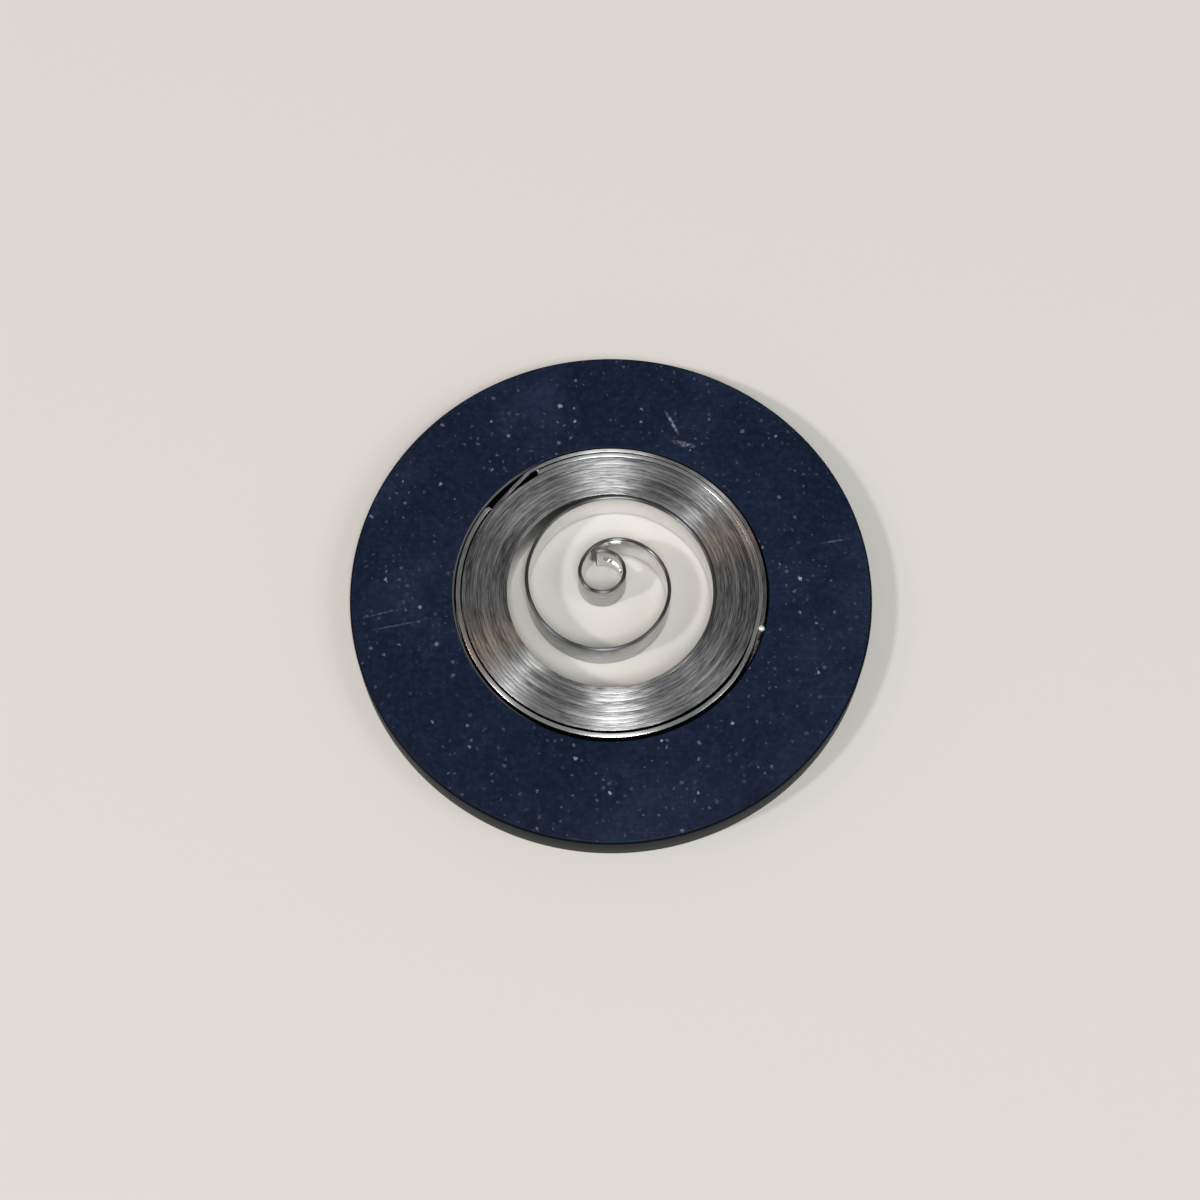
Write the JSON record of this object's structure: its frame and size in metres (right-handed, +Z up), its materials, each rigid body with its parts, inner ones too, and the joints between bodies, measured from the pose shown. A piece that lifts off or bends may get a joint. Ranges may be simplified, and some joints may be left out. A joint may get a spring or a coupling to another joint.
{
  "type": "spiral power spring in a retaining ring",
  "caption": "Spiral power spring wound from flat steel strip with a free inner coil, a slotted arbor eye and an open bridle that its tail is welded to, kept wound inside a flat dark blue retaining ring.",
  "frame": {"origin": "on the axis of the retaining ring, in the plane that the ring and the strip lie on", "axes": "+Z up along the ring's axis, +X towards the side where the free coil joins the tight turns, +Y away from the viewer of the picture"},
  "size_m": [0.02, 0.02, 0.0015],
  "materials": {
    "spring_steel": "rolled and polished strip",
    "bridle_steel": "rolled and polished strip",
    "blue_lacquer": "gloss dark blue"
  },
  "bodies": {
    "root": {"mainspring": "spring_steel", "bridle": "bridle_steel", "retaining_ring": "blue_lacquer"}
  },
  "joints": []
}
